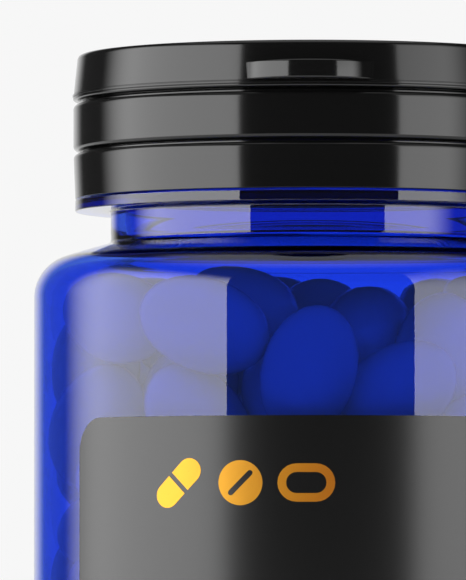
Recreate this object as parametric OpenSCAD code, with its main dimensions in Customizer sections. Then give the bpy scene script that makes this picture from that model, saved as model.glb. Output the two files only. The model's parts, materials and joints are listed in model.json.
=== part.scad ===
// Softgel bottle with a flip-top screw cap and a tamper-evident band.
// Millimetres, +Z up, origin at the centre of the base, front of the label and
// thumb tab towards -Y, living hinge towards +Y.

/* [Bottle] */
// Outer radius of the cylindrical body
body_r = 31; // [30:0.5:32]
// Wall thickness of the body and shoulder
wall = 1; // [0.8:0.1:1.4]
// Radius of the round edge between body and shoulder
shoulder_corner_r = 4.8; // [4:0.1:6]
// Radius of the shallow dome that the shoulder follows up to the neck
shoulder_dome_r = 90; // [70:5:140]
// Height at which the shoulder meets the neck
neck_base_z = 100.5; // [95:0.5:105]
// Outer radius of the neck under the transfer bead
neck_r = 22.4; // [22:0.1:22.8]
// Radius of the bore through the neck
mouth_r = 20.8; // [20:0.1:21]
// Radius of the round edge at the foot of the body
heel_r = 4.5; // [3:0.5:6]
// Height of the push-up in the middle of the base
push_up = 3; // [2:0.5:4]

/* [Finish] */
// Outer radius of the transfer bead, the clear ring under the cap
bead_r = 26.4; // [26:0.1:26.5]
// Thickness of the transfer bead
bead_h = 1.3; // [1:0.1:1.6]
// Length of bare neck between shoulder and transfer bead
neck_gap = 3.6; // [3:0.1:4.5]
// Height of the threaded finish above the transfer bead
finish_h = 9.6; // [9.6:0.1:10]
// Radius of the finish between its threads
finish_r = 23.1; // [23:0.1:23.3]
// Radius over the crest of the bottle's thread and of its catch ring
thread_crest_r = 24.4; // [24.2:0.1:24.4]
// Rise of the thread in one turn
thread_pitch = 3; // [2.8:0.1:3.2]

/* [Cap] */
// Outer radius of the cap's rings
cap_r = 26.6; // [26.5:0.1:27]
// Bore radius of the cap and of the band
cap_bore_r = 24.75; // [24.7:0.05:24.9]
// Radius over the crest of the cap's thread
cap_crest_r = 23.5; // [23.4:0.1:23.8]
// Radius that rounds the rings where they meet in a groove
ring_edge_r = 0.85; // [0.5:0.05:0.9]
// Height of the tamper-evident band
band_h = 5.2; // [5:0.1:5.3]
// Height of the cap base from its lower edge to its shoulder ring
base_h = 5.43; // [5.4:0.01:5.5]
// Radius of the opening that the softgels are poured through
pour_r = 17; // [15:0.5:18]
// Number of break-off bridges between band and cap base
bridge_count = 12; // [8:1:16]

/* [Lid] */
// Height of the lid over its skirt
lid_h = 5.25; // [5:0.05:6]
// Outer radius of the lid at its top edge
lid_top_r = 26.1; // [25.9:0.1:26.3]
// Radius over the bead at the lid's lower edge
lid_bead_r = 26.75; // [26.7:0.05:27]
// Thickness of the lid's top
lid_top_t = 1.2; // [1:0.1:1.5]
// Radius of the round thumb tab
tab_r = 7.9; // [7:0.1:9]
// How far the thumb tab stands out from the lid
tab_reach = 3.5; // [2:0.1:4]
// Thickness of the thumb tab
tab_t = 1.85; // [1.5:0.05:2.2]
// Width of the living hinge
hinge_w = 14; // [10:1:20]

/* [Label] */
// Height of the label's lower edge
label_z = 14; // [8:1:20]
// Height of the label
label_h = 66.5; // [50:0.5:70]
// Half of the angle that the label covers
label_half_angle = 54.5; // [40:0.5:70]
// Corner radius of the label
label_corner_r = 3.9; // [2:0.1:8]
// Height of the printed row of pictograms above the label's lower edge
print_z = 59.2; // [20:0.1:60]
// Height of one pictogram
print_h = 5.2; // [3:0.1:6]

/* [Softgels] */
// Radius of one softgel across its middle
softgel_r = 5.2; // [4:0.1:5.2]
// Length of one softgel
softgel_l = 14.8; // [12:0.1:14.8]
// Number of softgels in the ring along the wall
outer_count = 13; // [10:1:13]
// Number of softgels in the ring inside that one
inner_count = 7; // [5:1:7]

/* [Hidden] */
$fn = 96;

bead_z = neck_base_z + neck_gap;
bead_top = bead_z + bead_h;
bead_chamfer = 0.3;
catch_z = bead_top + 2.4;
catch_h = 1.3;
rim_z = bead_top + finish_h;

// Gaps between pieces that move past each other
seat_gap = 0.1;
slit = 0.12;
run_gap = 0.3;
// Depth by which joined shapes run into each other
join = 0.1;

band_z = bead_top + seat_gap;
band_top = band_z + band_h;
base_z = band_top + slit;
base_top = base_z + base_h;
liner_t = 0.6;
liner_gap = 0.02;
liner_inset = 0.1;
deck_gap = 0.03;
deck_z = rim_z + liner_gap + liner_t + deck_gap;
deck_t = 1.25;
deck_top = deck_z + deck_t;
deck_r = 25;
lid_gap = 0.15;
lid_z = base_top + lid_gap;
lid_top = lid_z + lid_h;
lid_bore_r = deck_r + run_gap;
collar_t = 1;
collar_h = 1.1;

// Round-overs of the lid, and the place of its thumb tab and plug above its lower edge
lid_edge_r = 0.6;
lip_r = 0.7;
lip_foot = 0.2;
lip_h = 1.15;
lip_step = 0.18;
tab_rise = 1.05;
plug_rise = 0.2;

// Break-off bridges stand in a step on the inside of the slit
step_r = 25.2;
step_h = 0.4;
bridge_w = 0.6;
bridge_gap = 0.05;

// Inner ring of the band that catches under the bottle's catch ring
pawl_r = thread_crest_r - 0.4;
pawl_z = band_z + 1.1;
pawl_h = 0.8;

// Cross-section of both threads
ridge_root_w = 1.1;
ridge_crest_w = 0.5;
ridge_sink = 0.3;
ridge_fade = 30;
thread_drop = 3.9;
thread_z = rim_z - thread_drop;
cap_thread_rise = 0.7;
cap_thread_z = base_z + cap_thread_rise;
thread_steps = 48;
// Half a pitch apart, the bottle's thread runs midway between the turns of the cap's
thread_start = 360 * (thread_z - cap_thread_z) / thread_pitch + 180;

// The hinge axis lies just behind the groove between cap base and lid
hinge_out = 0.75;
hinge_y = cap_r + hinge_out;
hinge_z = base_top + lid_gap / 2;
film_t = 0.3;
film_h = 1.9;
film_inset = 0.5;

// Ledges on cap base and lid that carry the two ends of the hinge film
ledge_sink = 1;
ledge_reach = 0.45;
ledge_h = 1.35;
ledge_gap = 0.25;

label_t = 0.15;
foil_t = 0.04;

// Gap between pictograms, and how far their row lies off the middle of the label
print_gap = 2;
print_s = -7.6;

// Sizes inside the pictograms
capsule_l = 1.25 * print_h;
capsule_w = 0.52 * print_h;
capsule_split = 0.1 * print_h;
tablet_d = 0.94 * print_h;
score_l = 0.7 * print_h;
score_w = 0.12 * print_h;
outline_l = 1.2 * print_h;
outline_w = 0.8 * print_h;
outline_t = 0.18 * print_h;

// Softgels stand in six rows and lie in the two rows above them
standing_rows = 6;
standing_z = 10.8;
standing_step = 12.2;
lying_count = 9;
lying_inner_count = 4;
lying_inner_r = 13;
lying_step = 8.6;
wall_gap = 0.2;
row_gap = 0.05;
ring_r = body_r - wall - softgel_r - wall_gap;
ring_gap = 10.9;

// Point on a circle, and a run of points along an arc
function polar(c, r, a) = [c[0] + r * cos(a), c[1] + r * sin(a)];
function arc(c, r, a0, a1, n = 8) = [for (i = [0:n]) polar(c, r, a0 + (a1 - a0) * i / n)];

// The shoulder is a corner arc that runs tangent into a shallow dome centred on the axis
dome_c = [0, neck_base_z - sqrt(pow(shoulder_dome_r, 2) - pow(neck_r, 2))];
corner_x = body_r - shoulder_corner_r;
corner_z = dome_c[1] + sqrt(pow(shoulder_dome_r - shoulder_corner_r, 2) - pow(corner_x, 2));
corner_c = [corner_x, corner_z];
tangent_a = atan2(corner_c[1] - dome_c[1], corner_x);

// The push-up is a sphere that dies out at the standing ring
stand_w = 1.5;
stand_r = body_r - heel_r - stand_w;
push_sphere_r = (pow(stand_r, 2) + pow(push_up, 2)) / (2 * push_up);
push_c = [0, push_up - push_sphere_r];
push_a = acos(stand_r / push_sphere_r);
heel_c = [body_r - heel_r, heel_r];

// Outline of the bottle from its base's centre round to the neck, moved inwards by t
function shell(t, top_r) = concat(
    arc(push_c, push_sphere_r + t, 90, push_a, 10),
    arc(heel_c, heel_r - t, -90, 0),
    arc(corner_c, shoulder_corner_r - t, 0, tangent_a),
    arc(dome_c, shoulder_dome_r - t, tangent_a, acos(top_r / (shoulder_dome_r - t)), 6));

// Trapezoid of a thread at one station, sunk into the wall and fading out at both ends
function fade(a) = min(1, a / ridge_fade, (360 - a) / ridge_fade);
function ridge_section(root, crest, z, a) =
    let (side = sign(crest - root),
         sunk = root - side * ridge_sink,
         low = root - side * ridge_sink / 2,
         tip = low + (crest - low) * fade(a))
    [[sunk, z - side * ridge_root_w / 2], [tip, z - side * ridge_crest_w / 2],
     [tip, z + side * ridge_crest_w / 2], [sunk, z + side * ridge_root_w / 2]];

// One turn of thread from radius root to radius crest, starting at height z0 and angle a0
module thread(root, crest, z0, a0) {
    sections = [for (i = [0:thread_steps])
        ridge_section(root, crest, z0 + thread_pitch * i / thread_steps, 360 * i / thread_steps)];
    points = [for (i = [0:thread_steps]) for (p = sections[i])
        [p[0] * cos(a0 + 360 * i / thread_steps), p[0] * sin(a0 + 360 * i / thread_steps), p[1]]];
    walls = [for (i = [0:thread_steps - 1]) for (k = [0:3])
        let (a = 4 * i + k, b = 4 * i + (k + 1) % 4)
        each [[a, b, b + 4], [a, b + 4, a + 4]]];
    last = 4 * thread_steps;
    ends = [[3, 2, 1, 0], [last, last + 1, last + 2, last + 3]];
    polyhedron(points, concat(walls, ends));
}

// Ring with a rounded outer edge at its top, its bottom or both
module ring(inner, outer, z0, z1, round_top = 0, round_bottom = 0) {
    low = round_bottom > 0 ? arc([outer - round_bottom, z0 + round_bottom], round_bottom, -90, 0, 6)
                           : [[outer, z0]];
    high = round_top > 0 ? arc([outer - round_top, z1 - round_top], round_top, 0, 90, 6)
                         : [[outer, z1]];
    rotate_extrude() polygon(concat([[inner, z0]], low, high, [[inner, z1]]));
}

module disc(r, z0, z1) {
    translate([0, 0, z0]) cylinder(r = r, h = z1 - z0);
}

// One moulding: body, neck, transfer bead and threaded finish
module bottle() color([0.02, 0.08, 0.62, 0.6]) {
    difference() {
        union() {
            rotate_extrude() polygon(concat(shell(0, neck_r),
                [[neck_r, bead_z], [bead_r - bead_chamfer, bead_z], [bead_r, bead_z + bead_chamfer],
                 [bead_r, bead_top - bead_chamfer], [bead_r - bead_chamfer, bead_top],
                 [finish_r, bead_top], [finish_r, catch_z], [thread_crest_r, catch_z],
                 [finish_r, catch_z + catch_h], [finish_r, rim_z], [0, rim_z]]));
            thread(finish_r, thread_crest_r, thread_z, thread_start);
        }
        rotate_extrude() polygon(concat(shell(wall, mouth_r), [[mouth_r, rim_z + 1], [0, rim_z + 1]]));
    }
}

// Skin of thickness t on radius r, in the shape of the children seen from the front at angle a
module skin(r, t, a = 0) {
    rotate([0, 0, a]) intersection() {
        difference() {
            disc(r + t, 0, rim_z);
            disc(r, -1, rim_z + 1);
        }
        rotate([90, 0, 0]) linear_extrude(2 * body_r) children();
    }
}

// Rounded rectangle whose width is measured round the wall
function flat_x(s) = body_r * sin(s / body_r * 180 / PI);
label_half_w = label_half_angle * PI / 180 * body_r;
function label_corner(sx, sz, a0) = [for (p = arc(
    [sx * (label_half_w - label_corner_r), label_z + label_h / 2 + sz * (label_h / 2 - label_corner_r)],
    label_corner_r, a0, a0 + 90)) [flat_x(p[0]), p[1]]];

module front_label() color([0.05, 0.05, 0.05]) {
    skin(body_r, label_t) polygon(concat(
        label_corner(1, 1, 0), label_corner(-1, 1, 90), label_corner(-1, -1, 180), label_corner(1, -1, 270)));
}

module bar(l, w) {
    square([l - w, w], center = true);
    for (side = [-1, 1]) translate([side * (l - w) / 2, 0]) circle(d = w);
}

// Three generic pictograms: a two-part capsule, a scored tablet and a softgel
module capsule_mark() {
    rotate(45) difference() {
        bar(capsule_l, capsule_w);
        square([capsule_split, print_h], center = true);
    }
}

module tablet_mark() {
    difference() {
        circle(d = tablet_d);
        rotate(-45) square([score_w, score_l], center = true);
    }
}

module softgel_mark() {
    difference() {
        bar(outline_l, outline_w);
        bar(outline_l - 2 * outline_t, outline_w - 2 * outline_t);
    }
}

module label_foil() color([0.95, 0.72, 0.1]) {
    step = (print_h + print_gap) / body_r * 180 / PI;
    mid = print_s / body_r * 180 / PI;
    r = body_r + label_t;
    z = label_z + print_z;
    skin(r, foil_t, mid - step) translate([0, z]) capsule_mark();
    skin(r, foil_t, mid) translate([0, z]) tablet_mark();
    skin(r, foil_t, mid + step) translate([0, z]) softgel_mark();
}

// Band that stays under the bottle's catch ring when its bridges break
module tamper_band() color([0.04, 0.04, 0.04]) {
    difference() {
        ring(cap_bore_r, cap_r, band_z, band_top, round_top = ring_edge_r);
        disc(step_r, band_top - step_h, band_top + 1);
    }
    ring(pawl_r, cap_bore_r + join, pawl_z, pawl_z + pawl_h);
    for (i = [0:bridge_count - 1])
        rotate([0, 0, 360 * (i + 0.5) / bridge_count])
            translate([cap_bore_r, -bridge_w / 2, band_top - step_h])
                cube([step_r - cap_bore_r + join, bridge_w, step_h + slit - bridge_gap]);
}

module liner_ring() color([0.92, 0.92, 0.9]) {
    z = rim_z + liner_gap;
    ring(mouth_r + liner_inset, thread_crest_r - liner_inset, z, z + liner_t);
}

module hinge_ledge(z) {
    translate([-hinge_w / 2, cap_r - ledge_sink, z])
        cube([hinge_w, ledge_sink + ledge_reach, ledge_h]);
}

// Threaded skirt, shoulder ring and deck with the raised lip of the pouring opening
module cap_base() color([0.04, 0.04, 0.04]) {
    difference() {
        union() {
            ring(0, cap_r, base_z, base_top, round_top = ring_edge_r, round_bottom = ring_edge_r);
            disc(deck_r, base_top - join, deck_top);
            disc(pour_r + collar_t, deck_top - join, deck_top + collar_h);
            hinge_ledge(base_top - ledge_gap - ledge_h);
        }
        disc(cap_bore_r, base_z - 1, deck_z);
        disc(pour_r, deck_z - 1, deck_top + collar_h + 1);
    }
    thread(cap_bore_r, cap_crest_r, cap_thread_z, 0);
}

// Thin strap that bends when the lid opens, drawn in its closed loop
module hinge_film() color([0.04, 0.04, 0.04]) {
    translate([film_inset - hinge_w / 2, hinge_y - film_t, hinge_z - film_h / 2])
        cube([hinge_w - 2 * film_inset, film_t, film_h]);
}

// Shallow lid with a bead at its lower edge, a sealing plug inside and a thumb tab in front
module lid() color([0.04, 0.04, 0.04]) {
    under = lid_top - lid_top_t;
    difference() {
        union() {
            rotate_extrude() polygon(concat(
                [[0, lid_z], [lid_bead_r - lip_r - lip_foot, lid_z]],
                arc([lid_bead_r - lip_r, lid_z + lip_r], lip_r, -80, 0, 6),
                [[lid_bead_r - lip_step, lid_z + lip_h]],
                arc([lid_top_r - lid_edge_r, lid_top - lid_edge_r], lid_edge_r, 6, 90, 6),
                [[0, lid_top]]));
            translate([0, tab_r - lid_top_r - tab_reach, lid_z + tab_rise]) cylinder(r = tab_r, h = tab_t);
            hinge_ledge(lid_z + ledge_gap);
        }
        disc(lid_bore_r, lid_z - 1, under);
    }
    plug_r = pour_r - run_gap;
    ring(plug_r - collar_t, plug_r, lid_z + plug_rise, under + join);
}

module softgel() {
    half = softgel_l / 2;
    rotate_extrude() polygon([for (a = [-90:15:90]) [softgel_r * cos(a), half * sin(a)]]);
}

module lying_softgel() {
    rotate([90, 0, 0]) softgel();
}

// Softgels on end: a ring along the wall, a ring inside it and one lying in the middle
module standing_row(k) color([0.85, 0.83, 0.78]) {
    translate([0, 0, standing_z + standing_step * k]) {
        for (i = [0:outer_count - 1])
            rotate([0, 0, 360 * (i + k / 2) / outer_count]) translate([ring_r, 0, 0]) softgel();
        for (i = [0:inner_count - 1])
            rotate([0, 0, 360 * (i + k / 2) / inner_count]) translate([ring_r - ring_gap, 0, 0]) softgel();
        rotate([0, 0, 90 * k]) lying_softgel();
    }
}

// Softgels on their sides, end to end along the wall and inside it
module lying_row(k) color([0.85, 0.83, 0.78]) {
    last_z = standing_z + standing_step * (standing_rows - 1);
    first_z = last_z + softgel_l / 2 + softgel_r + row_gap;
    translate([0, 0, first_z + lying_step * k]) {
        for (i = [0:lying_count - 1])
            rotate([0, 0, 360 * (i + k / 2) / lying_count]) translate([ring_r, 0, 0]) lying_softgel();
        for (i = [0:lying_inner_count - 1])
            rotate([0, 0, 360 * (i + k / 2) / lying_inner_count])
                translate([lying_inner_r, 0, 0]) lying_softgel();
        if (k == 0) lying_softgel();
    }
}

bottle();
front_label();
label_foil();
tamper_band();
liner_ring();
cap_base();
hinge_film();
lid();
standing_row(0);  // softgels_row_1
standing_row(1);  // softgels_row_2
standing_row(2);  // softgels_row_3
standing_row(3);  // softgels_row_4
standing_row(4);  // softgels_row_5
standing_row(5);  // softgels_row_6
lying_row(0);  // softgels_row_7
lying_row(1);  // softgels_row_8
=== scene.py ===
"""Clear blue bottle of softgels with a black flip-top screw cap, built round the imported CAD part.

Lengths are in millimetres and turn into metres where a mesh or a light is made.
The axis of the bottle is +Z. The label and the thumb tab face -Y, and the living hinge faces +Y.
"""

import json
import math

import bmesh
import bpy
import numpy as np
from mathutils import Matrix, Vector


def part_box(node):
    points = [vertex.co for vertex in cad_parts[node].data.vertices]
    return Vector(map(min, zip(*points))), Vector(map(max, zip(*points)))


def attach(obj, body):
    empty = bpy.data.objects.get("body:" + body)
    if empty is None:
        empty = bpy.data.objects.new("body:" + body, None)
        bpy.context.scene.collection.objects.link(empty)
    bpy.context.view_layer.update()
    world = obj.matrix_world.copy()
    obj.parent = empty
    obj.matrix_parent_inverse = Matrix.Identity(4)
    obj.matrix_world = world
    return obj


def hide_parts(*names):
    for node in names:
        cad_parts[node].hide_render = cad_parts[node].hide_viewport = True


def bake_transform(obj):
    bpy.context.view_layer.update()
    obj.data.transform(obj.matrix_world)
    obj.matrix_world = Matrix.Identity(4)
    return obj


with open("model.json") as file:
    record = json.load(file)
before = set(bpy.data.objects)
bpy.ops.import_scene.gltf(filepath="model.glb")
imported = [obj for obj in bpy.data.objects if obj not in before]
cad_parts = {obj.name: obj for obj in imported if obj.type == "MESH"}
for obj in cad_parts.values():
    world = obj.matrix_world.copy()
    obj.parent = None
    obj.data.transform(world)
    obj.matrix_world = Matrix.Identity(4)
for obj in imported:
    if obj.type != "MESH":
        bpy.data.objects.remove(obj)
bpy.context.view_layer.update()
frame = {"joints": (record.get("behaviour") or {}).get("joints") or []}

MM = 0.001


def cad_radius(node):
    """Radius of a CAD node about the bottle's axis, to 0.1 mm, since its mesh may miss the circle by less."""
    return round(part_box(node)[1].x / MM, 1)


def cad_heights(node):
    """Heights of the lowest and the highest point of a CAD node."""
    return [round(corner.z / MM, 2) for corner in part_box(node)]


# Bottle
BODY_R = cad_radius("bottle")
WALL = 1.0
HEEL_R = 4.5
STAND_R = 25.0
PUSH_UP = 3.0
PUSH_R = (STAND_R**2 + PUSH_UP**2) / (2 * PUSH_UP)
CORNER_R = 4.8
NECK_Z, NECK_R = 100.5, 22.4
DOME_R = 90.0
DOME_Z = NECK_Z - math.sqrt(DOME_R**2 - NECK_R**2)
MOUTH_R = 20.8
BEAD_Z, BEAD_TOP, BEAD_R = 104.07, 105.3, 26.4
FINISH_R = 23.1
CATCH_Z = 107.8
RIM_Z = cad_heights("bottle")[1]

# Threads
PITCH = 3.0
THREAD_CREST = 24.4
THREAD_Z, THREAD_START = 111.1, 129.6
CAP_CREST = 23.5
CAP_THREAD_Z, CAP_THREAD_START = 111.52, 0.0
RIDGE_ROOT, RIDGE_CREST = 1.1, 0.5

# Cap
BORE_R = 24.75
STEP_R, STEP_Z = 25.2, 110.3
RING_R = cad_radius("cap_base")
GROOVE_R = RING_R - 1.0
BAND_Z, BAND_TOP, BAND_GROOVE_Z = 105.46, 110.5, 110.72
PAWL_R, PAWL_Z, PAWL_TOP = 24.0, 106.6, 107.4
BRIDGES = 12
CAP_Z, CAP_TOP, CAP_GROOVE_Z = 110.74, 116.05, 116.28
DECK_R = 25.0
DECK_Z, DECK_TOP = 115.65, 116.9
POUR_R = 17.0
COLLAR_R, COLLAR_TOP = 18.0, cad_heights("cap_base")[1]
LINER_R, LINER_OUT = 20.9, cad_radius("liner_ring")
LINER_Z, LINER_TOP = cad_heights("liner_ring")
LID_Z, LID_TOP = cad_heights("lid")
LID_UNDER = LID_TOP - 1.2
LID_BORE_R = 25.3
LID_TOP_R = 26.1
PLUG_IN, PLUG_OUT = 15.7, 16.7
PLUG_Z = 116.6

# Hinge
HINGE_W = 14.0
hinge = next(joint for joint in frame["joints"] if joint["name"] == "lid_flip")
HINGE_Y, HINGE_Z = (round(place / MM, 3) for place in hinge["pos_m"][1:])
FILM_T, FILM_LOW, FILM_HIGH = 0.3, 115.38, 117.27
LEDGE_FROM, LEDGE_TO, LEDGE_H = 25.6, HINGE_Y - FILM_T, 1.35

# Thumb tab
TAB_R, TAB_Y = 7.9, -21.7
TAB_LOW, TAB_HIGH = 117.25, 119.3
TAB_EDGE = 0.22
TAB_ROOT_R, TAB_ROOT = 25.9, 0.6

# Label
LABEL_T = 0.15
LABEL_LOW, LABEL_HIGH = cad_heights("front_label")
LABEL_HALF = math.radians(54.5) * BODY_R
LABEL_CORNER = 3.9
FOIL_T = 0.04
PRINT_Z, PRINT_H = 73.2, 5.2
PRINT_MID, PRINT_STEP = -7.6, 7.2

# Softgels
GEL_R, GEL_HALF = 5.2, 7.4
GEL_COUNT = 196

# Studio
FLOOR_R = 590.0
EYE_Y, EYE_Z = -865.0, 60.8
AIM_X, AIM_UP = -8.65, 34.5
LENS, SENSOR = 478, 36


# ---------------------------------------------------------------- outlines


def arc(centre, radius, start, end, steps=8):
    """Points on a circle arc between two angles in degrees."""
    angles = np.radians(np.linspace(start, end, steps + 1))
    return [(centre[0] + radius * math.cos(a), centre[1] + radius * math.sin(a)) for a in angles]


def rounded(corners, steps=6):
    """Closed outline through (x, y, radius) corners, each rounded to its own radius."""
    outline = []
    for i, (x, y, radius) in enumerate(corners):
        here = np.array([x, y])
        if radius == 0:
            outline.append((x, y))
            continue
        back = np.array(corners[i - 1][:2]) - here
        ahead = np.array(corners[(i + 1) % len(corners)][:2]) - here
        back /= np.linalg.norm(back)
        ahead /= np.linalg.norm(ahead)
        half = math.acos(np.clip(back @ ahead, -1, 1)) / 2
        middle = back + ahead
        centre = here + middle / np.linalg.norm(middle) * radius / math.sin(half)
        first = here + back * radius / math.tan(half) - centre
        last = here + ahead * radius / math.tan(half) - centre
        turn = math.atan2(first[0] * last[1] - first[1] * last[0], first @ last)
        start = math.degrees(math.atan2(first[1], first[0]))
        outline += arc(centre, radius, start, start + math.degrees(turn), steps)
    return outline


def supported(outline, near=0.08, closed=True):
    """Adds a point close to both ends of each long side, so that smooth shading stays in the edges."""
    result = []
    count = len(outline)
    for i in range(count if closed else count - 1):
        a, b = np.array(outline[i]), np.array(outline[(i + 1) % count])
        length = np.linalg.norm(b - a)
        result.append(tuple(a))
        if length > 5 * near:
            result.append(tuple(a + (b - a) * near / length))
            result.append(tuple(b - (b - a) * near / length))
    if not closed:
        result.append(tuple(outline[-1]))
    return result


def curved_in(r, z, width, height, steps=10):
    """Quarter of an ellipse, from (r, z) on a ring's underside up to its outer wall."""
    turns = np.linspace(0, math.pi / 2, steps + 1)
    return [(r + width * math.sin(a), z + height * (1 - math.cos(a))) for a in turns]


def stepped(low, high, step):
    """Heights from low to high, about step apart."""
    return list(np.linspace(low, high, max(2, round(abs(high - low) / step) + 1)))


# ---------------------------------------------------------------- meshes


def piece_from(name, points, faces):
    """A smooth-shaded mesh object from points in millimetres."""
    mesh = bpy.data.meshes.new(name)
    mesh.from_pydata((np.array(points) * MM).tolist(), [], faces)
    mesh.shade_smooth()
    mesh.update()
    piece = bpy.data.objects.new(name, mesh)
    bpy.context.scene.collection.objects.link(piece)
    return piece


def lathe(name, outline, segments=256, shape=None):
    """Turns an outline of (radius, height) round the axis. It runs counter-clockwise, and closes on itself
    unless it starts on the axis. shape may change a ring's radius, from the radius, height and angles."""
    outline = np.array(outline)
    angles = np.linspace(0, 2 * math.pi, segments, endpoint=False)
    points, rings = [], []
    for r, z in outline:
        if r < 1e-6:
            rings.append([len(points)] * segments)
            points.append((0, 0, z))
            continue
        radii = np.full(segments, r) if shape is None else shape(r, z, angles)
        rings.append(list(range(len(points), len(points) + segments)))
        points += list(zip(radii * np.cos(angles), radii * np.sin(angles), np.full(segments, z)))
    on_axis = outline[0][0] < 1e-6
    pairs = zip(rings[:-1], rings[1:]) if on_axis else zip(rings, rings[1:] + rings[:1])
    faces = []
    for low, high in pairs:
        for j in range(segments):
            k = (j + 1) % segments
            corners = [low[j], low[k], high[k], high[j]]
            faces.append([c for i, c in enumerate(corners) if c not in corners[:i]])
    return piece_from(name, points, faces)


def rounded_box(name, low, high, radius):
    """A box with all its edges rounded."""
    mesh = bpy.data.meshes.new(name)
    shape = bmesh.new()
    bmesh.ops.create_cube(shape, size=1)
    low, high = Vector(low), Vector(high)
    for v in shape.verts:
        v.co = Vector((low[i] + (v.co[i] + 0.5) * (high[i] - low[i])) * MM for i in range(3))
    bmesh.ops.bevel(shape, geom=shape.edges[:], offset=radius * MM, segments=4, profile=0.5, affect="EDGES")
    shape.to_mesh(mesh)
    shape.free()
    mesh.shade_smooth()
    piece = bpy.data.objects.new(name, mesh)
    bpy.context.scene.collection.objects.link(piece)
    return piece


def swept(name, points, size):
    """A piece through a row of sections, each of size points, with both ends closed."""
    count = len(points) // size
    faces = [list(range(size))[::-1], [(count - 1) * size + k for k in range(size)]]
    for i in range(count - 1):
        for k in range(size):
            n = (k + 1) % size
            faces.append([i * size + k, i * size + n, (i + 1) * size + n, (i + 1) * size + k])
    piece = piece_from(name, points, faces)
    piece.data.set_sharp_from_angle(angle=math.radians(50))
    return piece


def joined(name, pieces):
    """Several mesh objects as one."""
    points, faces = [], []
    for piece in pieces:
        start = len(points)
        points += [v.co / MM for v in piece.data.vertices]
        faces += [[start + i for i in f.vertices] for f in piece.data.polygons]
        bpy.data.objects.remove(piece)
    return piece_from(name, points, faces)


# ---------------------------------------------------------------- bottle


def ridge(z, angles, start_z, start_angle):
    """Share of a thread's full depth at one height, from 0 to 1. It fades out at both ends of its turn."""
    along = np.mod(np.degrees(angles) - start_angle, 360) / 360
    offset = z - start_z - PITCH * along
    flank = (RIDGE_ROOT - RIDGE_CREST) / 2
    profile = np.clip((RIDGE_ROOT / 2 - np.abs(offset)) / flank, 0, 1)
    fade = np.clip(np.minimum(along, 1 - along) * 12, 0, 1)
    return profile * fade


def bottle_thread(r, z, angles):
    """The bottle's thread, raised on the finish."""
    if abs(r - FINISH_R) > 0.01 or z < CATCH_Z:
        return np.full(len(angles), r)
    return r + (THREAD_CREST - r) * ridge(z, angles, THREAD_Z, THREAD_START)


def shell_outline(inset, top_r):
    """Base, heel, body, corner and dome, moved inwards by inset, from the axis up to radius top_r."""
    push_angle = math.degrees(math.acos(STAND_R / PUSH_R))
    corner_x = BODY_R - CORNER_R
    corner_z = DOME_Z + math.sqrt((DOME_R - CORNER_R) ** 2 - corner_x**2)
    tangent = math.degrees(math.atan2(corner_z - DOME_Z, corner_x))
    top = math.degrees(math.acos(top_r / (DOME_R - inset)))
    base = arc((0, PUSH_UP - PUSH_R), PUSH_R + inset, 90, push_angle + 0.8, 16)
    base[0] = (0, base[0][1])
    heel = arc((BODY_R - HEEL_R, HEEL_R), HEEL_R - inset, -90, 0, 16)
    body = [(BODY_R - inset, z) for z in stepped(HEEL_R + 1, corner_z - 1, 6)]
    corner = arc((corner_x, corner_z), CORNER_R - inset, 0, tangent, 16)
    dome = arc((0, DOME_Z), DOME_R - inset, tangent, top, 12)
    return base + heel + body + corner + dome[1:]


def bottle():
    """Body, neck, transfer bead and threaded finish, one moulding with an even wall."""
    outer = shell_outline(0, NECK_R + 0.35)
    outer += arc((NECK_R + 0.45, NECK_Z + 0.37), 0.45, -105, -180, 5)
    outer += supported(
        rounded(
            [
                (NECK_R, NECK_Z + 0.9, 0),
                (NECK_R, BEAD_Z, 0.3),
                (BEAD_R, BEAD_Z, 0.12),
                (BEAD_R, BEAD_TOP, 0.12),
                (FINISH_R, BEAD_TOP, 0.3),
                (FINISH_R, CATCH_Z, 0.1),
                (THREAD_CREST, CATCH_Z, 0.12),
                (FINISH_R, CATCH_Z + 1.3, 0.3),
                (FINISH_R, 109.6, 0),
            ],
            5,
        ),
        closed=False,
    )
    outer += [(FINISH_R, z) for z in stepped(109.8, RIM_Z - 0.4, 0.1)]
    rim = arc((FINISH_R - 0.3, RIM_Z - 0.3), 0.3, 0, 90, 5)
    rim += arc((MOUTH_R + 0.3, RIM_Z - 0.3), 0.3, 90, 180, 5)
    inner = [(MOUTH_R, z) for z in stepped(RIM_Z - 0.5, NECK_Z + 0.6, 1.5)]
    inner += shell_outline(WALL, MOUTH_R + 0.3)[::-1]
    piece = lathe("clear_bottle", outer + rim + inner, 256, bottle_thread)
    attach(piece, "bottle")
    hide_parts("bottle")
    piece.data.materials.append(blue_pet())


# ---------------------------------------------------------------- label


def on_wall(s, z, r):
    """Point at arc length s round the front of a cylinder of radius r, measured on the body's wall."""
    angle = s / BODY_R
    return (r * math.sin(angle), -r * math.cos(angle), z)


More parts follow.
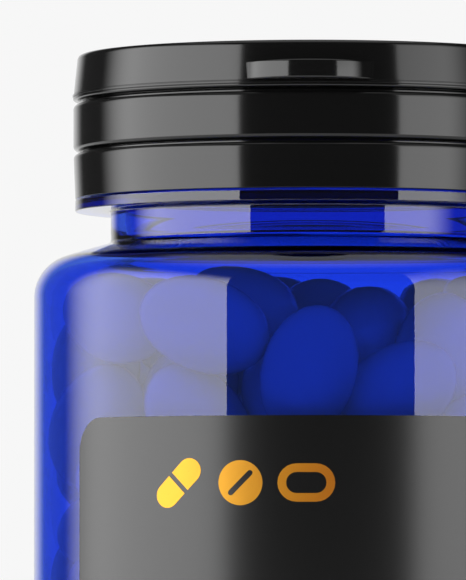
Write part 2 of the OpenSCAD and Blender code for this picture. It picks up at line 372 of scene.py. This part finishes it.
def skin_mesh(name, columns, rows, r, t):
    """Closed sheet of thickness t on radius r. columns lists (s, low, high), rows shares of that height."""
    points = []
    for radius in (r, r + t):
        for s, low, high in columns:
            points += [on_wall(s, low + (high - low) * f, radius) for f in rows]
    across, up = len(columns), len(rows)

    def at(side, i, k):
        return (side * across + i) * up + k

    faces = []
    for i in range(across - 1):
        for k in range(up - 1):
            faces.append([at(1, i, k), at(1, i + 1, k), at(1, i + 1, k + 1), at(1, i, k + 1)])
            faces.append([at(0, i, k), at(0, i, k + 1), at(0, i + 1, k + 1), at(0, i + 1, k)])
        faces.append([at(0, i, 0), at(0, i + 1, 0), at(1, i + 1, 0), at(1, i, 0)])
        faces.append([at(0, i, up - 1), at(1, i, up - 1), at(1, i + 1, up - 1), at(0, i + 1, up - 1)])
    for k in range(up - 1):
        faces.append([at(0, 0, k), at(1, 0, k), at(1, 0, k + 1), at(0, 0, k + 1)])
        last = across - 1
        faces.append([at(0, last, k), at(0, last, k + 1), at(1, last, k + 1), at(1, last, k)])
    piece = piece_from(name, points, faces)
    piece.data.set_sharp_from_angle(angle=math.radians(40))
    return piece


def front_label():
    """Black film label with round corners, wrapped on the body."""
    edge = []
    for a in np.radians(np.linspace(90, 0, 13)):
        edge.append((LABEL_HALF - LABEL_CORNER * (1 - math.cos(a)), LABEL_CORNER * (1 - math.sin(a))))
    middle = [(s, 0.0) for s in np.linspace(-edge[0][0], edge[0][0], 97)[1:-1]]
    columns = [(-s, cut) for s, cut in edge[::-1]] + middle + edge
    columns = [(s, LABEL_LOW + cut, LABEL_HIGH - cut) for s, cut in columns]
    piece = skin_mesh("wrap_label", columns, list(np.linspace(0, 1, 13)), BODY_R, LABEL_T)
    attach(piece, "bottle")
    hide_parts("front_label")
    piece.data.materials.append(label_film())


def bar_outline(length, width, steps=12):
    """Outline of a bar with round ends."""
    reach = (length - width) / 2
    side = [(x, width / 2) for x in np.linspace(reach, -reach, steps + 2)[1:-1]]
    half = arc((reach, 0), width / 2, -90, 90, steps) + side
    return half + [(-x, -y) for x, y in half]


def turned(outline, degrees):
    """Outline turned about its origin."""
    c, s = math.cos(math.radians(degrees)), math.sin(math.radians(degrees))
    return [(x * c - y * s, x * s + y * c) for x, y in outline]


def foil_patch(name, inner, outer, s0, layers=4):
    """Foil on the label at arc length s0, between two outlines with the same number of points."""
    inner, outer = np.array(inner), np.array(outer)
    count = len(outer)
    low, high = BODY_R + LABEL_T, BODY_R + LABEL_T + FOIL_T
    points = []
    for r in (low, high):
        for f in np.linspace(0, 1, layers + 1):
            for x, y in inner + (outer - inner) * f:
                points.append(on_wall(s0 + x, PRINT_Z + y, r))

    def at(side, layer, i):
        return (side * (layers + 1) + layer) * count + i % count

    faces = []
    for i in range(count):
        for k in range(layers):
            faces.append([at(1, k, i), at(1, k + 1, i), at(1, k + 1, i + 1), at(1, k, i + 1)])
            faces.append([at(0, k, i), at(0, k, i + 1), at(0, k + 1, i + 1), at(0, k + 1, i)])
        faces.append([at(0, layers, i), at(0, layers, i + 1), at(1, layers, i + 1), at(1, layers, i)])
        faces.append([at(0, 0, i), at(1, 0, i), at(1, 0, i + 1), at(0, 0, i + 1)])
    return piece_from(name, points, faces)


def capsule_half(side, s0):
    """One half of the two-part capsule, a bar cut across its middle."""
    length, width, split = 1.25 * PRINT_H, 0.52 * PRINT_H, 0.1 * PRINT_H
    reach = (length - width) / 2
    outline = [(split / 2, width / 2), (split / 2, -width / 2)] + arc((reach, 0), width / 2, -90, 90, 16)
    middle = (split / 2 + reach + width / 2) / 2
    pinhole = 0.02
    hole = [(middle + pinhole * (x - middle), pinhole * y) for x, y in outline]
    turn = 45 if side > 0 else 225
    return foil_patch("foil_part", turned(hole, turn), turned(outline, turn), s0)


def tablet_mark(s0):
    """A round tablet with a score line."""
    radius, reach, half = 0.47 * PRINT_H, 0.29 * PRINT_H, 0.06 * PRINT_H
    slot, rim = [], []
    for a in np.linspace(0, 2 * math.pi, 96, endpoint=False):
        c, d = abs(math.cos(a)), abs(math.sin(a))
        beyond = half * c > reach * d
        r = reach * c + math.sqrt(half**2 - (reach * d) ** 2) if beyond else half / d
        slot.append((r * math.cos(a), r * math.sin(a)))
        rim.append((radius * math.cos(a), radius * math.sin(a)))
    return foil_patch("foil_part", turned(slot, 45), turned(rim, 45), s0)


def softgel_mark(s0):
    """The outline of a softgel."""
    outer = bar_outline(1.2 * PRINT_H, 0.8 * PRINT_H)
    inner = bar_outline(0.84 * PRINT_H, 0.44 * PRINT_H)
    return foil_patch("foil_part", inner, outer, s0)


def label_foil():
    """Row of three gold pictograms on the label."""
    parts = [capsule_half(side, PRINT_MID - PRINT_STEP) for side in (-1, 1)]
    parts += [tablet_mark(PRINT_MID), softgel_mark(PRINT_MID + PRINT_STEP)]
    piece = joined("foil_marks", parts)
    piece.data.set_sharp_from_angle(angle=math.radians(40))
    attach(piece, "bottle")
    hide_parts("label_foil")
    piece.data.materials.append(gold_foil())


# ---------------------------------------------------------------- cap


def tamper_band():
    """Tapered band with its pawl ring and the step that the bridges stand on."""
    outline = rounded(
        [
            (BORE_R, BAND_Z, 0.15),
            (RING_R - 0.22, BAND_Z, 0.08),
            (RING_R - 0.02, BAND_TOP, 0.5),
            (GROOVE_R, BAND_TOP, 0.05),
            (GROOVE_R, BAND_GROOVE_Z, 0.05),
            (STEP_R, BAND_GROOVE_Z, 0.05),
            (STEP_R, STEP_Z, 0.05),
            (BORE_R, STEP_Z, 0.1),
            (BORE_R, PAWL_TOP, 0.1),
            (PAWL_R, PAWL_TOP, 0.12),
            (PAWL_R, PAWL_Z, 0.12),
            (BORE_R, PAWL_Z, 0.1),
        ]
    )
    piece = lathe("tamper_ring", supported(outline))
    finish_cap_piece(piece, "tamper_band", "tamper_band")
    bridges = []
    for i in range(BRIDGES):
        low = (BORE_R + 0.1, -0.3, STEP_Z - 0.1)
        high = (BORE_R + 0.6, 0.3, CAP_Z - 0.01)
        bridge = rounded_box(f"bridge_{i}", low, high, 0.08)
        turn = math.radians(360 / BRIDGES * (i + 0.5))
        for v in bridge.data.vertices:
            x, y = v.co.x, v.co.y
            v.co.x = x * math.cos(turn) - y * math.sin(turn)
            v.co.y = x * math.sin(turn) + y * math.cos(turn)
        bridges.append(bridge)
    finish_cap_piece(joined("break_bridges", bridges), "tamper_band")


def finish_cap_piece(piece, body, *nodes):
    """Gives a moulded black piece its body and its material, and hides the CAD nodes that it stands for."""
    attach(piece, body)
    if nodes:
        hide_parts(*nodes)
    piece.data.materials.append(black_plastic())


def hinge_ledge(name, body, z):
    """Ledge at the back of the cap or the lid that the hinge film is moulded to."""
    high = (HINGE_W / 2, LEDGE_TO, z + LEDGE_H)
    finish_cap_piece(rounded_box(name, (-HINGE_W / 2, LEDGE_FROM, z), high, 0.25), body)


def cap_thread(r, z, angles):
    """The cap's thread, standing inwards from its bore."""
    if abs(r - BORE_R) > 0.01 or not 111 < z < 115.4:
        return np.full(len(angles), r)
    return r - (r - CAP_CREST) * ridge(z, angles, CAP_THREAD_Z, CAP_THREAD_START)


def cap_base():
    """Threaded skirt, deck and the raised lip of the pouring opening."""
    outer = supported(
        [(BORE_R, CAP_Z)]
        + curved_in(GROOVE_R, CAP_Z, RING_R - GROOVE_R, 0.64)
        + rounded(
            [
                (RING_R, 113.0, 0),
                (RING_R, CAP_TOP, 0.5),
                (GROOVE_R, CAP_TOP, 0.05),
                (GROOVE_R, CAP_GROOVE_Z, 0.05),
                (DECK_R, CAP_GROOVE_Z, 0.05),
                (DECK_R, DECK_TOP, 0.2),
                (COLLAR_R, DECK_TOP, 0.3),
                (COLLAR_R, COLLAR_TOP, 0.25),
                (POUR_R, COLLAR_TOP, 0.25),
                (POUR_R, DECK_Z, 0.2),
                (BORE_R, DECK_Z, 0.15),
                (BORE_R, 115.4, 0),
            ]
        ),
        closed=False,
    )
    bore = [(BORE_R, z) for z in stepped(115.3, 111.0, 0.1)]
    piece = lathe("cap_shell", outer + bore, 256, cap_thread)
    finish_cap_piece(piece, "cap", "cap_base")
    hinge_ledge("cap_hinge_ledge", "cap", 114.65)


def liner_ring():
    """White sealing ring between the bottle's rim and the deck."""
    corners = [(LINER_R, LINER_Z), (LINER_OUT, LINER_Z), (LINER_OUT, LINER_TOP), (LINER_R, LINER_TOP)]
    outline = rounded([(r, z, 0.12) for r, z in corners])
    piece = lathe("liner_washer", supported(outline), 192)
    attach(piece, "liner")
    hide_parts("liner_ring")
    piece.data.materials.append(liner_foam())


def lid():
    """Shallow lid with two fine beads at its lower edge and a sealing plug under its top."""
    outline = [(0, LID_UNDER)] + supported(
        rounded(
            [
                (0.5, LID_UNDER, 0),
                (PLUG_IN, LID_UNDER, 0.3),
                (PLUG_IN, PLUG_Z, 0.25),
                (PLUG_OUT, PLUG_Z, 0.4),
                (PLUG_OUT, LID_UNDER, 0.3),
                (LID_BORE_R, LID_UNDER, 0.4),
                (LID_BORE_R, LID_Z, 0.1),
                (25.8, LID_Z, 0),
            ]
        )
        + curved_in(25.85, LID_Z, 0.8, 0.34)
        + rounded(
            [
                (26.65, 116.78, 0),
                (26.65, 116.85, 0.03),
                (26.55, 116.87, 0.02),
                (26.55, 116.92, 0.02),
                (26.7, 116.95, 0.03),
                (26.7, 117.16, 0.03),
                (26.52, 117.19, 0.02),
                (26.52, 117.26, 0.02),
                (26.56, 117.29, 0.02),
                (LID_TOP_R, LID_TOP, 0.55),
                (1, LID_TOP, 0),
            ]
        ),
        closed=False,
    )
    outline.append((0, LID_TOP))
    piece = lathe("lid_shell", outline)
    finish_cap_piece(piece, "lid", "lid")
    hinge_ledge("lid_hinge_ledge", "lid", 116.65)
    finish_cap_piece(thumb_tab(), "lid")


def thumb_tab():
    """Crescent in front of the lid, cut from a disc and rounded along its edge."""
    reach = math.acos((TAB_ROOT_R**2 - TAB_R**2 - TAB_Y**2) / (-2 * TAB_R * TAB_Y))
    section = arc((TAB_EDGE, TAB_HIGH - TAB_EDGE), TAB_EDGE, 90, 180, 5)
    section += arc((TAB_EDGE, TAB_LOW + TAB_EDGE), TAB_EDGE, 180, 270, 5)
    points = []
    for a in np.linspace(-reach, reach, 65):
        out = np.array([math.sin(a), -math.cos(a)])
        tip = np.array([0, TAB_Y]) + TAB_R * out
        along = tip @ out
        depth = along - math.sqrt(max(0, along**2 - tip @ tip + TAB_ROOT_R**2))
        depth = max(depth, TAB_ROOT)
        for d, z in [(depth, TAB_HIGH)] + section + [(depth, TAB_LOW)]:
            x, y = tip - out * d
            points.append((x, y, z))
    return swept("thumb_tab", points, len(section) + 2)


def hinge_film():
    """Thin strap that joins cap base and lid."""
    half = HINGE_W / 2 - 0.5
    section = rounded([(-half, 0, 0.1), (half, 0, 0.1), (half, FILM_T, 0.1), (-half, FILM_T, 0.1)], 3)
    rows = stepped(FILM_LOW, FILM_HIGH, 0.06)
    points = [(x, HINGE_Y - FILM_T + y, z) for z in rows for x, y in section]
    piece = swept("hinge_strap", points, len(section))
    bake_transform(piece)
    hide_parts("hinge_film")
    piece.data.materials.append(black_plastic())


# ---------------------------------------------------------------- softgels

# Softgels in front, over and beside the label: x, z, direction of the long axis, and depth behind the wall
FRONT_GELS = (
    (-21.3, 92.0, (0.54, -0.8, -0.25), 3.0),
    (-11.4, 90.6, (0.92, -0.2, -0.34), 0.0),
    (-7.2, 93.0, (0.65, 0.5, -0.54), 9.0),
    (1.2, 90.2, (0.0, 0.1, 1.0), 14.0),
    (-0.1, 85.4, (0.26, 0.05, 0.97), 0.0),
    (9.25, 83.0, (0.82, 0.1, 0.57), 0.0),
    (6.3, 90.2, (0.2, 0.9, 0.3), 9.0),
    (14.4, 87.3, (0.1, 0.2, 0.97), 7.0),
    (21.3, 88.0, (0.2, 0.1, 0.97), 0.0),
    (-23.6, 79.8, (0.35, -0.3, 1.0), 0.0),
    (-12.1, 79.9, (-0.57, 0.0, 0.82), 0.0),
)

# Three balls stand for a softgel in contact. SHARE says how far each ball moves each of its two ends.
END_R, END_OFFSET = 4.6, 2.8
WALL_SPARE = 0.25
BALL_R = np.array([END_R, GEL_R, END_R])
SHARE = np.array([[1, 0], [0.5, 0.5], [0, 1]])


def first_places(rng):
    """Starting middles and axes: the front softgels, then loose layers filled from below."""
    middles, axes = [], []
    for x, z, axis, depth in FRONT_GELS:
        axis = np.array(axis) / np.linalg.norm(axis)
        middles.append((x, depth - math.sqrt((BODY_R - WALL - WALL_SPARE - GEL_R) ** 2 - x * x), z))
        axes.append(axis)
    z = 8.0
    layer = 0
    while len(middles) < GEL_COUNT:
        for ring_r, count in ((24.4, 12), (13.4, 7), (3.0, 1)):
            for i in range(count):
                turn = 2 * math.pi * (i + 0.5 * layer) / count
                if len(middles) < GEL_COUNT:
                    place = (ring_r * math.cos(turn), ring_r * math.sin(turn), z + rng.uniform(-1, 1))
                    middles.append(place)
                    axis = rng.normal(size=3)
                    axes.append(axis / np.linalg.norm(axis))
        z += 9.4
        layer += 1
    return np.array(middles), np.array(axes)


def balls_of(ends):
    """The three balls of each softgel: its two ends and its middle."""
    return np.stack([ends[:, 0], ends.mean(1), ends[:, 1]], 1)


def pushed_apart(ends, first, second, radii):
    """Ends after each listed pair of softgels has moved apart where it overlaps."""
    balls = balls_of(ends)
    gap = balls[first][:, :, None] - balls[second][:, None]
    apart = np.linalg.norm(gap, axis=3)
    over = np.clip(radii[:, None] + radii[None] - apart, 0, None)
    push = gap / (apart[..., None] + 1e-9) * over[..., None] * 0.3
    move, hits = np.zeros_like(ends), np.zeros((len(ends), 2, 1))
    touching = (over > 0).astype(float)
    np.add.at(move, first, np.einsum("mabk,ae->mek", push, SHARE))
    np.add.at(move, second, -np.einsum("mabk,be->mek", push, SHARE))
    np.add.at(hits, first, np.einsum("mab,ae->me", touching, SHARE)[..., None])
    np.add.at(hits, second, np.einsum("mab,be->me", touching, SHARE)[..., None])
    return ends + move / np.maximum(1, hits * 0.5)


def kept_inside(ends, radii):
    """Ends after the balls that reach into the wall, the dome or the push-up have moved back."""
    balls = balls_of(ends)
    back = np.zeros_like(balls)
    round_r = np.linalg.norm(balls[:, :, :2], axis=2)
    out = np.clip(round_r - (BODY_R - WALL - WALL_SPARE - radii), 0, None)
    back[:, :, :2] -= balls[:, :, :2] / (round_r[..., None] + 1e-9) * out[..., None]
    from_dome = balls - np.array([0, 0, DOME_Z])
    far = np.linalg.norm(from_dome, axis=2)
    out = np.clip(far - (DOME_R - WALL - WALL_SPARE - radii), 0, None)
    back -= from_dome / far[..., None] * out[..., None]
    from_base = balls - np.array([0, 0, PUSH_UP - PUSH_R])
    far = np.linalg.norm(from_base, axis=2)
    out = np.clip(PUSH_R + WALL + WALL_SPARE + radii - far, 0, None)
    back += from_base / far[..., None] * out[..., None]
    return ends + np.einsum("nak,ae->nek", back, SHARE) * 0.8


def settle(steps=460):
    """Lets the softgels fall into the bottle and push each other apart. Returns their middles and axes.
    They grow to full size on the way. The front ones keep their place but for their depth."""
    rng = np.random.default_rng(7)
    middle, axis = first_places(rng)
    fixed = len(FRONT_GELS)
    held_x, held_z, held_axis = middle[:fixed, 0].copy(), middle[:fixed, 2].copy(), axis[:fixed].copy()
    ends = np.stack([middle - axis * END_OFFSET, middle + axis * END_OFFSET], 1)
    speed = np.zeros_like(ends)
    for step in range(steps):
        grown = min(1.0, 0.6 + 0.4 * step / (steps * 0.4))
        radii = BALL_R * grown
        gravity = 0.1 if step < steps * 0.7 else 0.01
        before = ends.copy()
        ends = ends + speed
        ends[fixed:, :, 2] -= gravity
        if step % 6 == 0:
            centres = ends.mean(1)
            apart = np.linalg.norm(centres[:, None] - centres[None], axis=2)
            first, second = np.nonzero(np.triu(apart < 2 * GEL_HALF + 2, 1))
        for _ in range(4):
            ends = pushed_apart(ends, first, second, radii)
            ends = kept_inside(ends, radii)
            middle, axis = ends.mean(1), ends[:, 1] - ends[:, 0]
            axis /= np.linalg.norm(axis, axis=1)[:, None]
            middle[:fixed, 0], middle[:fixed, 2], axis[:fixed] = held_x, held_z, held_axis
            ends = np.stack([middle - axis * END_OFFSET, middle + axis * END_OFFSET], 1)
        speed = np.clip((ends - before) * 0.85, -0.6, 0.6)
        speed[:fixed] *= 0.3
    return middle, axis


def softgels():
    """All softgels, as one piece."""
    around, along = 28, 14
    turns = np.linspace(0, 2 * math.pi, around, endpoint=False)
    lifts = np.linspace(-math.pi / 2, math.pi / 2, along + 1)[1:-1]
    shape = [(0, 0, -GEL_HALF)]
    for b in lifts:
        r, z = GEL_R * math.cos(b), GEL_HALF * math.sin(b)
        shape += [(r * math.cos(a), r * math.sin(a), z) for a in turns]
    shape.append((0, 0, GEL_HALF))
    shape = np.array(shape)
    faces = []
    rings = along - 1
    for j in range(around):
        k = (j + 1) % around
        faces.append([0, 1 + k, 1 + j])
        for i in range(rings - 1):
            a, b = 1 + i * around, 1 + (i + 1) * around
            faces.append([a + j, a + k, b + k, b + j])
        top = 1 + (rings - 1) * around
        faces.append([top + j, top + k, len(shape) - 1])
    points, all_faces = [], []
    for middle, axis in zip(*settle()):
        turn = Vector((0, 0, 1)).rotation_difference(Vector(axis)).to_matrix()
        start = len(points)
        points += (shape @ np.array(turn).T + middle).tolist()
        all_faces += [[start + i for i in f] for f in faces]
    piece = piece_from("softgels", points, all_faces)
    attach(piece, "bottle")
    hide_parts(*[f"softgels_row_{k}" for k in range(1, 9)])
    piece.data.materials.append(softgel_shell())


# ---------------------------------------------------------------- materials


MADE = {}


def material(name, **values):
    """Principled material, made once. Underscores stand for the spaces in the names of its sockets."""
    if name not in MADE:
        made = bpy.data.materials.new(name)
        made.use_nodes = True
        shader = made.node_tree.nodes["Principled BSDF"]
        for key, value in values.items():
            shader.inputs[key.replace("_", " ")].default_value = value
        MADE[name] = made
    return MADE[name]


def maths(tree, operation, first, second):
    """Output of a Math node with two inputs, each of them a number or another node's output."""
    node = tree.nodes.new("ShaderNodeMath")
    node.operation = operation
    for socket, value in zip(node.inputs, (first, second)):
        if isinstance(value, float):
            socket.default_value = value
        else:
            tree.links.new(value, socket)
    return node.outputs[0]


def smooth_ramp(tree, value, start, end, first, last):
    """Output that runs smoothly from first to last while value runs from start to end."""
    node = tree.nodes.new("ShaderNodeMapRange")
    node.interpolation_type = "SMOOTHSTEP"
    for socket, number in (("From Min", start), ("From Max", end), ("To Min", first), ("To Max", last)):
        node.inputs[socket].default_value = number
    tree.links.new(value, node.inputs["Value"])
    return node.outputs["Result"]


def axes_of(tree, node_type, output):
    """The X, Y and Z outputs of a place or a direction."""
    place = tree.nodes.new(node_type)
    split = tree.nodes.new("ShaderNodeSeparateXYZ")
    tree.links.new(place.outputs[output], split.inputs[0])
    return split.outputs


def blue_pet():
    """Clear cobalt-blue bottle plastic. It gets part of its colour from the thickness of the wall."""
    made = material(
        "clear_blue_pet",
        Base_Color=(0.11, 0.26, 0.95, 1),
        Roughness=0.0,
        IOR=1.57,
        Transmission_Weight=1.0,
    )
    nodes, links = made.node_tree.nodes, made.node_tree.links
    depth = nodes.new("ShaderNodeVolumeAbsorption")
    depth.inputs["Color"].default_value = (0.0, 0.2, 0.7, 1)
    depth.inputs["Density"].default_value = 350
    links.new(depth.outputs["Volume"], nodes["Material Output"].inputs["Volume"])
    return made


def black_plastic():
    """Glossy black polypropylene."""
    black = (0.003, 0.003, 0.003, 1)
    return material("gloss_black_pp", Base_Color=black, Roughness=0.11, IOR=1.46)


def label_film():
    """Satin black label film."""
    black = (0.0005, 0.0005, 0.0005, 1)
    return material("satin_label_film", Base_Color=black, Roughness=0.27, IOR=1.53)


def gold_foil():
    """Gold foil that runs from yellow to orange along the row of pictograms."""
    made = material("bright_gold_foil", Metallic=0.5, Roughness=0.4)
    nodes, links = made.node_tree.nodes, made.node_tree.links
    along = nodes.new("ShaderNodeMapRange")
    along.inputs["From Min"].default_value = -0.014
    along.inputs["From Max"].default_value = 0.004
    blend = nodes.new("ShaderNodeMix")
    blend.data_type = "RGBA"
    blend.inputs["A"].default_value = (0.6, 0.3, 0.01, 1)
    blend.inputs["B"].default_value = (0.38, 0.11, 0.0005, 1)
    axes = axes_of(made.node_tree, "ShaderNodeTexCoord", "Object")
    links.new(axes["X"], along.inputs["Value"])
    links.new(along.outputs["Result"], blend.inputs["Factor"])
    links.new(blend.outputs["Result"], nodes["Principled BSDF"].inputs["Base Color"])
    return made


def liner_foam():
    """White foamed liner."""
    return material("white_liner_foam", Base_Color=(0.85, 0.85, 0.83, 1), Roughness=0.7)


def softgel_shell():
    """Off-white gelatin shell."""
    return material("pale_gelatin", Base_Color=(0.56, 0.64, 0.66, 1), Roughness=0.2, IOR=1.45)


# ---------------------------------------------------------------- studio


def floor():
    """Plain pale floor, round, so that it ends at the softboxes."""
    piece = lathe("floor", [(0, 0), (FLOOR_R, 0)], 96)
    pale = (0.85, 0.85, 0.85, 1)
    piece.data.materials.append(material("pale_floor_paint", Base_Color=pale, Roughness=0.6))


def softbox(name, centre, width, height, radiance, fade_y, fade_z):
    """Soft light panel beside the bottle, hidden from the camera and from light through the plastic. It falls
    from full to none between the two depths in fade_y, and between the two heights in fade_z."""
    light = bpy.data.lights.new(name, "AREA")
    light.shape = "RECTANGLE"
    light.size, light.size_y = width * MM, height * MM
    light.energy = math.pi * light.size * light.size_y
    lamp = bpy.data.objects.new(name, light)
    bpy.context.scene.collection.objects.link(lamp)
    lamp.location = Vector(centre) * MM
    lamp.rotation_euler = Vector((-centre[0], 0, 0)).to_track_quat("-Z", "Y").to_euler()
    lamp.visible_camera = False
    lamp.visible_transmission = False
    light.use_nodes = True
    tree = light.node_tree
    axes = axes_of(tree, "ShaderNodeNewGeometry", "Position")
    by_depth = smooth_ramp(tree, axes["Y"], fade_y[0] * MM, fade_y[1] * MM, radiance, 0)
    by_height = smooth_ramp(tree, axes["Z"], fade_z[0] * MM, fade_z[1] * MM, 1, 0)
    strength = maths(tree, "MULTIPLY", by_depth, by_height)
    tree.links.new(strength, tree.nodes["Emission"].inputs["Strength"])


def softboxes():
    """A wide softbox at the left and a narrower one at the right."""
    softbox(
        "left_softbox",
        centre=(-600, -257, 300),
        width=1265,
        height=1600,
        radiance=4.5,
        fade_y=(30, 375),
        fade_z=(350, 700),
    )
    softbox(
        "right_softbox",
        centre=(600, -290, 200),
        width=706,
        height=1400,
        radiance=3.9,
        fade_y=(-250, 20),
        fade_z=(50, 800),
    )


def surround():
    """White surround behind and above the bottle, dark beside and before it. Rays from the camera, through
    the plastic and from matt surfaces find at least their own brightness all round."""
    world = bpy.data.worlds.new("studio")
    bpy.context.scene.world = world
    world.use_nodes = True
    tree = world.node_tree
    axes = axes_of(tree, "ShaderNodeTexCoord", "Generated")
    behind = smooth_ramp(tree, axes["Y"], 0.83, 0.96, 0.06, 0.93)
    above = smooth_ramp(tree, axes["Z"], 0.75, 0.95, 0.06, 1.0)
    brightest = maths(tree, "MAXIMUM", behind, above)
    rays = tree.nodes.new("ShaderNodeLightPath").outputs
    for kind, radiance in (("Is Camera Ray", 0.93), ("Is Transmission Ray", 1.15), ("Is Diffuse Ray", 0.7)):
        least = maths(tree, "MULTIPLY", rays[kind], radiance)
        brightest = maths(tree, "MAXIMUM", brightest, least)
    tree.links.new(brightest, tree.nodes["Background"].inputs["Color"])


def camera():
    """Long lens at half the bottle's height, turned up and left to the cap."""
    lens = bpy.data.cameras.new("camera")
    lens.lens = LENS
    lens.sensor_width = SENSOR
    eye = bpy.data.objects.new("camera", lens)
    bpy.context.scene.collection.objects.link(eye)
    eye.location = Vector((0, EYE_Y, EYE_Z)) * MM
    aim = Vector((AIM_X, 0, EYE_Z + AIM_UP)) * MM
    eye.rotation_euler = (aim - eye.location).to_track_quat("-Z", "Y").to_euler()
    bpy.context.scene.camera = eye


bottle()
front_label()
label_foil()
tamper_band()
cap_base()
liner_ring()
lid()
hinge_film()
softgels()
floor()
softboxes()
surround()
camera()
bpy.context.scene.view_settings.view_transform = "Standard"
